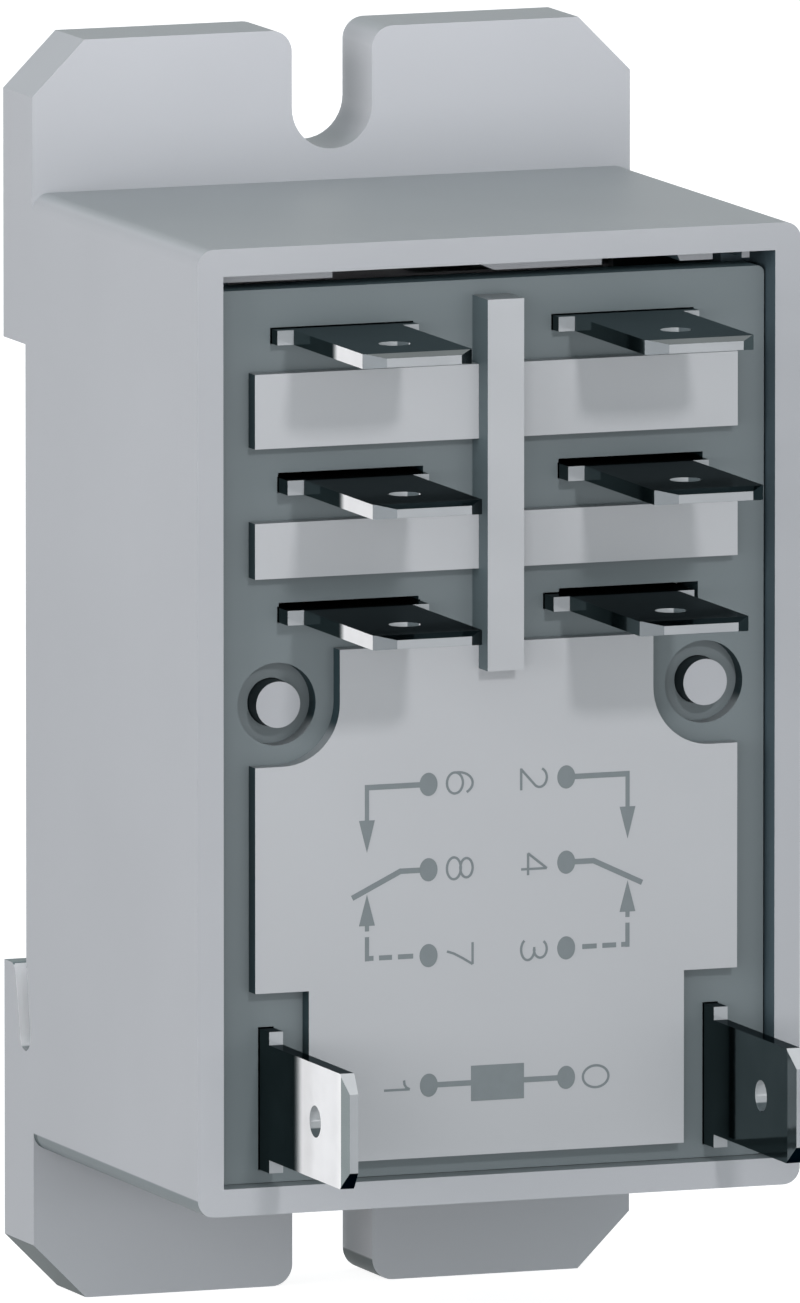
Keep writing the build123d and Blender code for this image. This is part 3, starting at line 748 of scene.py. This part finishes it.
@dataclass
class Diagram(Assembly):
    """Contact diagram and terminal numbers printed on the base's panel."""

    panel_depth: float = 30.08
    ink: float = 0.016
    line_across: float = 0.30
    line_down: float = 0.24
    arm_line: float = 0.30
    dot_width: float = 1.04
    dot_height: float = 1.28
    arrow_width: float = 0.92
    digit_height: float = 1.49
    digit_width: float = 1.2
    digit_line: float = 0.135
    layer_step: float = 0.15
    dot_sides: int = 32
    line_layer: int = 1
    arrow_layer: int = 2
    dot_layer: int = 3
    rows: Triple = (-3.42, -8.10, -12.81)
    poles: tuple[Pole, ...] = (
        Pole(-1, -3.97, -7.54, -5.6, -8.4, ((7.65, 7.16), (6.84, 6.09), (5.74, 4.86))),
        Pole(1, 4.03, 7.60, 5.62, 8.45, ((7.71, 7.24), (6.94, 6.14), (5.81, 4.97))),
    )
    upper_line_end: float = -5.25
    upper_arrow: Point = (-5.22, -6.98)
    lower_arrow: Point = (-11.0, -9.29)
    lower_lines: tuple[Point, ...] = ((-10.98, -11.3), (-11.61, -12.94))
    arm_end: float = -9.44
    arm_lap: Point = (0.06, 0.03)
    dash_rise: float = 0.02
    dash_line: float = 0.27
    coil_row: float = -19.93
    coil_dots: Point = (-3.95, 4.03)
    coil_line_end: float = 1.4
    coil_box: Triple = (-1.50, 1.58, 1.95)
    coil_box_drop: float = 0.04
    number_columns: Point = (-2.90, 1.41)
    coil_numbers: tuple[Point, Point] = ((-6.55, 0.1), (5.01, -0.03))
    marks: list[Mark] = field(default_factory=list)

    def bar(self, start: Point, end: Point, width: float, layer: int = 0) -> None:
        """Add a straight line.

        Args:
            start: First end of its middle line.
            end: Second end.
            width: Width of the line.
            layer: Layer of ink that it lies in.
        """
        run = (end[0] - start[0], end[1] - start[1])
        centre = ((start[0] + end[0]) / 2, (start[1] + end[1]) / 2)
        turn = -math.atan2(run[1], run[0])
        self.marks.append(Mark(MarkKind.BAR, centre, math.hypot(*run), width, turn, layer))

    def dot(self, x: float, z: float) -> None:
        """Add a terminal dot."""
        self.marks.append(Mark(MarkKind.DOT, (x, z), self.dot_width, self.dot_height, 0.0, self.dot_layer))

    def arrow(self, x: float, base: float, tip: float) -> None:
        """Add an arrowhead that points up or down.

        Args:
            x: Its middle.
            base: Height of its base.
            tip: Height of its point.
        """
        way = math.copysign(1.0, tip - base)
        centre = (x, base + (tip - base) / 3)
        size = (abs(tip - base) / 1.5, self.arrow_width / math.sqrt(3))
        self.marks.append(Mark(MarkKind.ARROW, centre, *size, -way * math.pi / 2, self.arrow_layer))

    def draw_pole(self, pole: Pole) -> None:
        """Draw one change-over contact.

        Args:
            pole: Its places.
        """
        top, middle, bottom = self.rows
        for row in self.rows:
            self.dot(pole.dot, row)
        branch, side, layer = pole.branch, pole.side, self.line_layer
        self.bar((pole.dot, top), (branch + side * self.line_down / 2, top), self.line_across)
        self.bar((branch, top - self.line_across / 2), (branch, self.upper_line_end), self.line_down, layer)
        self.arrow(branch, *self.upper_arrow)
        self.bar((pole.dot, middle), (pole.bend, middle), self.line_across)
        lap_x, lap_z = self.arm_lap
        self.bar((pole.bend - side * lap_x, middle + lap_z), (pole.tip, self.arm_end), self.arm_line, layer)
        self.arrow(branch, *self.lower_arrow)
        for start, end in self.lower_lines:
            self.bar((branch, start), (branch, end), self.line_down, layer)
        dash_row = bottom + self.dash_rise
        for outer, inner in pole.dashes:
            self.bar((side * outer, dash_row), (side * inner, dash_row), self.dash_line)

    def draw_coil(self) -> None:
        """Draw the coil with its two terminals."""
        row = self.coil_row
        for x in self.coil_dots:
            self.dot(x, row)
            self.bar((x, row), (math.copysign(self.coil_line_end, x), row), self.line_across)
        left, right, height = self.coil_box
        middle = row - self.coil_box_drop
        self.bar((left, middle), (right, middle), height, self.line_layer)

    def marks_tree(self) -> GrowthTree:
        """Tree that sets a unit bar, dot or arrow on each point.

        Returns:
            The tree.
        """
        growth = GrowthTree("printed_marks", {"Ink": 2 * self.ink * MM}, {"Dot Sides": self.dot_sides})
        points = growth.step("GeometryNodeMeshToPoints", {"Mesh": growth.inputs["Geometry"]})
        kind, size, turn = (growth.attribute(*item) for item in MARK_DATA.items())
        flat = growth.step("ShaderNodeCombineXYZ", {"X": 1.0, "Y": growth.inputs["Ink"], "Z": 1.0})
        join = growth.add("GeometryNodeJoinGeometry")
        shapes = {
            MarkKind.BAR: growth.step("GeometryNodeMeshCube", {"Size": (1.0, 1.0, 1.0)}),
            MarkKind.DOT: growth.step("GeometryNodeMeshCylinder", {
                "Vertices": growth.inputs["Dot Sides"], "Radius": 0.5, "Depth": 1.0}),
            MarkKind.ARROW: growth.step("GeometryNodeMeshCylinder", {
                "Vertices": 3, "Radius": 1.0, "Depth": 1.0}),
        }
        for mark, shape in shapes.items():
            same = {2: kind, 3: mark.value}
            wanted = growth.step("FunctionNodeCompare", same, data_type="INT", operation="EQUAL")
            quarter = 0.0 if mark is MarkKind.BAR else math.pi / 2
            turned = {"Geometry": shape, "Rotation": (quarter, 0.0, 0.0)}
            upright = growth.step("GeometryNodeTransform", turned)
            thin = growth.step("GeometryNodeTransform", {"Geometry": upright, "Scale": flat})
            placed = growth.step("GeometryNodeInstanceOnPoints", {
                "Points": points, "Selection": wanted, "Instance": thin, "Rotation": turn, "Scale": size})
            growth.put(join.inputs[0], placed)
        growth.close(join.outputs[0])
        return growth

    def marks_mesh(self) -> bpy.types.Mesh:
        """Points that carry the kind, size and turn of each mark.

        Returns:
            A mesh of loose points.
        """
        mesh = bpy.data.meshes.new("diagram_points")
        y = -self.panel_depth * MM
        mesh.from_pydata([(m.centre[0] * MM, y, m.centre[1] * MM) for m in self.marks], [], [])
        for name, kind in MARK_DATA.items():
            mesh.attributes.new(name, kind, "POINT")
        kinds, sizes, turns = (mesh.attributes[name].data for name in MARK_DATA)
        for index, mark in enumerate(self.marks):
            kinds[index].value = mark.kind.value
            sizes[index].vector = (mark.length * MM, 1.0 + self.layer_step * mark.layer, mark.width * MM)
            turns[index].vector = (0.0, mark.turn, 0.0)
        return mesh

    @staticmethod
    def arc(centre: Point, radii: Point, start: float, end: float) -> list[Point]:
        """Points of an elliptical arc.

        Args:
            centre: Centre in the digit's unit box.
            radii: Half width and half height.
            start: First angle in degrees, 0 to the right and 90 up.
            end: Last angle.

        Returns:
            The points, closed if the arc is a full turn.
        """
        count = max(8, round(abs(end - start) / 9))
        angles = [math.radians(start + (end - start) * i / count) for i in range(count + 1)]
        points = [(centre[0] + radii[0] * math.cos(a), centre[1] + radii[1] * math.sin(a)) for a in angles]
        return points[:-1] + [points[0]] if abs(end - start) >= 360 else points

    def digit_paths(self) -> dict[str, list[list[Point]]]:
        """Strokes of the digits in a unit box.

        Returns:
            For each digit, its strokes.
        """
        arc = self.arc
        return {
            "0": [arc((0.5, 0.5), (0.5, 0.5), 0, 360)],
            "1": [[(0.72, 0.0), (0.72, 1.0)], [(0.72, 1.0), (0.62, 0.86), (0.5, 0.8), (0.3, 0.78)]],
            "2": [arc((0.46, 0.72), (0.43, 0.28), 160, -38) + [(0.04, 0.0)], [(0.0, 0.0), (1.0, 0.0)]],
            "3": [arc((0.48, 0.75), (0.40, 0.25), 150, -90), arc((0.48, 0.26), (0.48, 0.26), 90, -150),
                  [(0.48, 0.51), (0.38, 0.51)]],
            "4": [[(0.72, 0.0), (0.72, 1.0)], [(0.0, 0.27), (1.0, 0.27)], [(0.72, 1.0), (0.0, 0.27)]],
            "6": [arc((0.5, 0.31), (0.48, 0.31), 0, 360), arc((0.53, 0.44), (0.51, 0.56), 190, 36)],
            "7": [[(0.0, 1.0), (1.0, 1.0)], [(1.0, 1.0), (0.68, 0.58), (0.47, 0.27), (0.36, 0.0)]],
            "8": [arc((0.5, 0.27), (0.5, 0.27), 0, 360), arc((0.5, 0.76), (0.44, 0.24), 0, 360)],
        }

    def digit_lines(self) -> list[list[Triple]]:
        """Strokes of every number, turned a quarter clockwise and placed on the panel.

        Returns:
            Runs of points in metres.
        """
        places = {}
        for left, digits in zip(self.number_columns, ("687", "243")):
            places.update((digit, (left, row)) for digit, row in zip(digits, self.rows))
        for digit, (left, lift) in zip("10", self.coil_numbers):
            places[digit] = (left, self.coil_row + lift)
        paths = self.digit_paths()
        lines = []
        for digit, (left, row) in places.items():
            for layer, stroke in enumerate(paths[digit]):
                y = -(self.panel_depth + self.layer_step * layer * self.digit_line) * MM
                lines.append([
                    ((left + v * self.digit_height) * MM, y, (row + (0.5 - u) * self.digit_width) * MM)
                    for u, v in stroke])
        return lines

    def line_tree(self) -> GrowthTree:
        """Tree that lays a thin flat line of ink along each path.

        Returns:
            The tree.
        """
        level = -self.panel_depth * MM
        sizes = {"Line Width": self.digit_line * MM, "Ink": 2 * self.ink * MM, "Level": level}
        growth = GrowthTree("printed_lines", sizes, {})
        curve = growth.step("GeometryNodeMeshToCurve", {"Mesh": growth.inputs["Geometry"]})
        side = growth.inputs["Line Width"]
        profile = growth.step("GeometryNodeCurvePrimitiveQuadrilateral", {"Width": side, "Height": side})
        solid = growth.sweep(curve, profile)
        share = growth.calc("DIVIDE", growth.inputs["Ink"], side)
        scale = growth.step("ShaderNodeCombineXYZ", {"X": 1.0, "Y": share, "Z": 1.0})
        shift = growth.calc("MULTIPLY", growth.inputs["Level"], growth.calc("SUBTRACT", 1.0, share))
        move = growth.step("ShaderNodeCombineXYZ", {"X": 0.0, "Y": shift, "Z": 0.0})
        feeds = {"Geometry": solid, "Translation": move, "Scale": scale}
        growth.close(growth.step("GeometryNodeTransform", feeds))
        return growth

    def build(self) -> None:
        """Make the marks and the numbers."""
        for pole in self.poles:
            self.draw_pole(pole)
        self.draw_coil()
        material = self.wardrobe.get(self.wardrobe.ink)
        marks = self.marks_tree().grow("diagram_marks", self.marks_mesh(), material)
        paths = polyline_mesh("number_paths", self.digit_lines())
        digits = self.line_tree().grow("diagram_numbers", paths, material)
        for piece in (marks, digits):
            finish_piece(piece, Slot.BASE, smooth=False)
            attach(piece, Body.HOUSING.value)


@dataclass
class Winding(Assembly):
    """Turns of enamelled wire on the bobbin, in place of the CAD tube."""

    wire: float = 0.46
    sides: int = 8
    steps: int = 56

    def build(self) -> None:
        """Wind the wire from flange to flange."""
        low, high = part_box("coil_winding")
        middle = (low + high) / 2
        wire = self.wire * MM
        radius = (high.x - low.x) / 2 - wire / 2
        height = high.z - low.z - wire
        count = float(int(height / wire))
        sizes = {"Turns": count, "Radius": radius, "Height": height, "Wire Radius": wire / 2}
        growth = GrowthTree("coil_turns", sizes, {"Steps": self.steps, "Wire Sides": self.sides})
        inputs = growth.inputs
        spiral = growth.step("GeometryNodeCurveSpiral", {
            "Resolution": inputs["Steps"], "Rotations": inputs["Turns"], "Start Radius": inputs["Radius"],
            "End Radius": inputs["Radius"], "Height": inputs["Height"]})
        growth.close(growth.tube(spiral, inputs["Wire Radius"], inputs["Wire Sides"]))
        seed = bpy.data.meshes.new("winding_seed")
        turns = growth.grow("winding_turns", seed, self.wardrobe.get(self.wardrobe.wire))
        for vertex in turns.data.vertices:
            vertex.co += Vector((middle.x, middle.y, low.z + wire / 2))
        finish_piece(turns, Slot.COPPER_WIRE, smooth=True)
        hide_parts("coil_winding")
        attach(turns, Body.HOUSING.value)


@dataclass
class Braids(Assembly):
    """Flat plaited leads from the common terminals to the contact arms."""

    width: float = 2.4
    thickness: float = 0.62
    strand: float = 0.24
    strands: int = 8
    plaits: float = 2.5
    steps: int = 72
    sides: int = 8
    path: tuple[Point, ...] = (
        (20.5, 13.26), (18.9, 13.26), (16.9, 12.2), (14.87, 12.6), (13.45, 12.55))
    path_steps: int = 8

    def tree(self) -> GrowthTree:
        """Tree that plaits strands along a path in the plane of depth and height.

        Returns:
            The tree.
        """
        half_width, half_thickness = ((size / 2 - self.strand) * MM for size in (self.width, self.thickness))
        sizes = {
            "Width": half_width, "Thickness": half_thickness, "Strand Radius": self.strand / 2 * MM,
            "Plaits": self.plaits}
        growth = GrowthTree("plaited_lead", sizes, {"Strands": self.strands, "Steps": self.steps})
        curve = growth.step("GeometryNodeMeshToCurve", {"Mesh": growth.inputs["Geometry"]})
        even = growth.step("GeometryNodeResampleCurve", {"Curve": curve, "Count": growth.inputs["Steps"]})
        feeds = {"Geometry": even, "Amount": growth.inputs["Strands"]}
        copies = growth.add("GeometryNodeDuplicateElements", feeds, domain="SPLINE")
        share = growth.add("GeometryNodeSplineParameter").outputs["Factor"]
        along = growth.calc("MULTIPLY", share, growth.inputs["Plaits"])
        start = growth.calc("DIVIDE", copies.outputs["Duplicate Index"], growth.inputs["Strands"])
        angle = growth.calc("MULTIPLY", growth.calc("ADD", along, start), 2 * math.pi)
        across = growth.calc("MULTIPLY", growth.calc("COSINE", angle), growth.inputs["Width"])
        over = growth.calc("MULTIPLY", growth.calc("SINE", growth.calc("MULTIPLY", angle, 2.0)),
                           growth.inputs["Thickness"])
        tangent = growth.add("GeometryNodeInputTangent").outputs[0]
        outward = growth.vector("CROSS_PRODUCT", {0: (1.0, 0.0, 0.0), 1: tangent})
        lift = growth.vector("SCALE", {0: outward, "Scale": over})
        shift = growth.step("ShaderNodeCombineXYZ", {"X": across, "Y": 0.0, "Z": 0.0})
        woven = growth.step("GeometryNodeSetPosition", {
            "Geometry": copies.outputs["Geometry"], "Offset": growth.vector("ADD", {0: shift, 1: lift})})
        growth.close(growth.tube(woven, growth.inputs["Strand Radius"], self.sides))
        return growth

    def build(self) -> None:
        """Make both braids."""
        growth = self.tree()
        for name in ("braid_left", "braid_right"):
            low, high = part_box(name)
            middle = (low.x + high.x) / 2
            spline = smooth_path([(-depth * MM, z * MM) for depth, z in self.path], self.path_steps)
            seed = polyline_mesh(f"{name}_path", [[(middle, y, z) for y, z in spline]])
            material = self.wardrobe.get(self.wardrobe.braid)
            piece = growth.grow(f"{name}_plait", seed, material)
            finish_piece(piece, Slot.BRAID, smooth=True)
            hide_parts(name)
            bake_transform(piece)


def smooth_path(points: list[Point], steps: int) -> list[Point]:
    """Round a path with a Catmull-Rom curve.

    Args:
        points: Points to pass through.
        steps: Pieces between two points.

    Returns:
        The rounded path.
    """
    ends = [points[0], *points, points[-1]]
    path = []
    for i in range(1, len(ends) - 2):
        p0, p1, p2, p3 = (Vector((*ends[i + k], 0.0)) for k in (-1, 0, 1, 2))
        for j in range(steps):
            t = j / steps
            q = 0.5 * (2 * p1 + (p2 - p0) * t + (2 * p0 - 5 * p1 + 4 * p2 - p3) * t * t
                       + (3 * p1 - p0 - 3 * p2 + p3) * t ** 3)
            path.append((q.x, q.y))
    return [*path, points[-1]]


@dataclass
class HingeLeaf(Assembly):
    """The hinge spring, bent between the yoke and the armature."""

    fixed_height: float = -2.0
    free_height: float = 1.4
    merge_distance: float = 0.001

    def build(self) -> None:
        """Copy the spring's solid and close its faces."""
        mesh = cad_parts["hinge_spring"].data.copy()
        merged = bmesh.new()
        merged.from_mesh(mesh)
        bmesh.ops.remove_doubles(merged, verts=merged.verts, dist=self.merge_distance * MM)
        merged.to_mesh(mesh)
        merged.free()
        mesh.name = "hinge_leaf"
        mesh.materials.clear()
        mesh.materials.append(self.wardrobe.get(self.wardrobe.spring))
        leaf = bpy.data.objects.new("hinge_leaf", mesh)
        bpy.context.scene.collection.objects.link(leaf)
        finish_piece(leaf, Slot.SPRING, smooth=False)
        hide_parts("hinge_spring")
        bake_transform(leaf)


def hang(thing: bpy.types.Object, target: Triple, azimuth: float, elevation: float, distance: float) -> None:
    """Put a lamp or the camera in the scene, facing a point.

    Args:
        thing: The lamp or the camera.
        target: Point that it faces.
        azimuth: Degrees to the right of the terminals' side.
        elevation: Degrees above the horizon.
        distance: How far off it stands.
    """
    a, e = math.radians(azimuth), math.radians(elevation)
    back = Vector((math.sin(a) * math.cos(e), -math.cos(a) * math.cos(e), math.sin(e)))
    thing.location = Vector(target) + back * distance
    thing.rotation_mode = "QUATERNION"
    thing.rotation_quaternion = back.to_track_quat("Z", "Y")
    bpy.context.scene.collection.objects.link(thing)


@dataclass(frozen=True)
class Lamp:
    """A panel of light; at level 1, a white face that looks at it comes out just white."""

    name: str
    azimuth: float
    elevation: float
    distance: float
    width: float
    height: float
    level: float
    colour: Colour = (1.0, 0.965, 0.98)

    def build(self, target: Triple) -> None:
        """Hang the lamp.

        Args:
            target: Point that it faces.
        """
        data = bpy.data.lights.new(self.name, "AREA")
        data.shape = "RECTANGLE"
        data.size = self.width
        data.size_y = self.height
        data.energy = self.level * math.pi ** 2 * self.distance ** 2
        data.color = self.colour
        lamp = bpy.data.objects.new(self.name, data)
        lamp.visible_camera = False
        hang(lamp, target, self.azimuth, self.elevation, self.distance)


@dataclass(frozen=True)
class Beam:
    """A far spotlight aimed past the housing, so that the edge of its beam only reaches one ear."""

    name: str
    azimuth: float
    elevation: float
    distance: float
    height: float
    radius: float
    level: float
    colour: Colour = (1.0, 0.965, 0.98)
    softness: float = 0.05
    bulb: float = 0.01

    def build(self) -> None:
        """Hang the spotlight."""
        data = bpy.data.lights.new(self.name, "SPOT")
        data.spot_size = 2 * math.atan(self.radius / self.distance)
        data.spot_blend = self.softness
        data.color = self.colour
        data.shadow_soft_size = self.bulb
        data.energy = self.level * 4 * math.pi ** 2 * self.distance ** 2
        lamp = bpy.data.objects.new(self.name, data)
        lamp.visible_camera = False
        hang(lamp, (0.0, 0.0, self.height), self.azimuth, self.elevation, self.distance)


@dataclass
class Studio:
    """Floor, light and camera."""

    target: Triple = (-1.06 * MM, -18.0 * MM, 2.12 * MM)
    azimuth: float = -20.68
    elevation: float = 8.03
    lens: float = 1000.0
    sensor: float = 36.0
    clips: Point = (0.01, 20.0)
    view_height: float = 71.1 * MM
    floor_size: float = 8.0
    floor_colour: Colour = (0.48, 0.48, 0.48)
    floor_lift: float = 0.9
    ambient: float = 0.37
    ambient_colour: Colour = (0.86, 0.97, 1.0)
    lamps: tuple[Lamp, ...] = (
        Lamp("key_panel", 0.0, 25.0, 0.3, 0.02, 0.02, 0.205),
        Lamp("soft_panel", -40.0, 12.0, 0.25, 0.2, 0.2, 0.06),
        Lamp("side_panel", -78.0, 6.0, 0.32, 0.27, 0.27, 0.8),
        Lamp("low_strip", -8.0, 0.0, 0.4, 0.5, 0.066, 0.23),
        Lamp("right_panel", 95.0, 0.0, 0.6, 0.04, 0.04, 0.5),
        Lamp("back_panel", 180.0, 0.0, 0.6, 0.04, 0.04, 0.5),
    )
    beams: tuple[Beam, ...] = (
        Beam("upper_beam", -10.0, 4.0, 1.5, 127.0 * MM, 100.0 * MM, 0.36),
        Beam("lower_beam", -10.0, 4.0, 1.5, -127.0 * MM, 100.0 * MM, 0.15, (0.88, 0.98, 1.0)),
    )

    def floor(self) -> None:
        """Lay a pale floor that stays white to the camera and keeps the shadow."""
        half = self.floor_size / 2
        level = cad_box[0].z
        mesh = bpy.data.meshes.new("floor")
        corners = [(-half, -half), (half, -half), (half, half), (-half, half)]
        mesh.from_pydata([(x, y, level) for x, y in corners], [], [(0, 1, 2, 3)])
        material = bpy.data.materials.new("pale_floor")
        material.use_nodes = True
        nodes = NodeBuilder(material.node_tree)
        diffuse = nodes.step("ShaderNodeBsdfDiffuse", {"Color": self.floor_colour})
        glow = nodes.step("ShaderNodeEmission", {
            "Color": (self.floor_lift,) * 3, "Strength": nodes.seen_directly()})
        both = nodes.step("ShaderNodeAddShader", {0: diffuse, 1: glow})
        nodes.add("ShaderNodeOutputMaterial", {"Surface": both})
        mesh.materials.append(material)
        ground = bpy.data.objects.new("floor", mesh)
        bpy.context.scene.collection.objects.link(ground)

    def world(self) -> None:
        """Even light from all sides, white where it is seen directly."""
        world = bpy.data.worlds.new("studio")
        world.use_nodes = True
        nodes = NodeBuilder(world.node_tree)
        soft = nodes.step("ShaderNodeBackground", {"Color": self.ambient_colour, "Strength": self.ambient})
        white = nodes.step("ShaderNodeBackground", {"Color": (1.0, 1.0, 1.0)})
        light = nodes.step("ShaderNodeMixShader", {0: nodes.seen_directly(), 1: soft, 2: white})
        nodes.add("ShaderNodeOutputWorld", {"Surface": light})
        bpy.context.scene.world = world

    def camera(self) -> None:
        """Set the camera at the photograph's angle, far off with a long lens."""
        data = bpy.data.cameras.new("camera")
        data.lens = self.lens
        data.sensor_width = self.sensor
        data.clip_start, data.clip_end = self.clips
        camera = bpy.data.objects.new("camera", data)
        distance = self.view_height * self.lens / self.sensor
        hang(camera, self.target, self.azimuth, self.elevation, distance)
        bpy.context.scene.camera = camera

    def build(self) -> None:
        """Set up the whole studio."""
        self.floor()
        self.world()
        for lamp in self.lamps:
            lamp.build(self.target)
        for beam in self.beams:
            beam.build()
        self.camera()
        bpy.context.scene.view_settings.view_transform = "Standard"


def main() -> None:
    """Dress the relay piece by piece and set up the studio."""
    logging.basicConfig(level=logging.INFO, format="%(message)s")
    wardrobe = Wardrobe()
    wardrobe.dress_cad()
    for assembly in (Diagram, Winding, Braids, HingeLeaf):
        assembly(wardrobe).build()
    Studio().build()


if __name__ == "__main__":
    main()
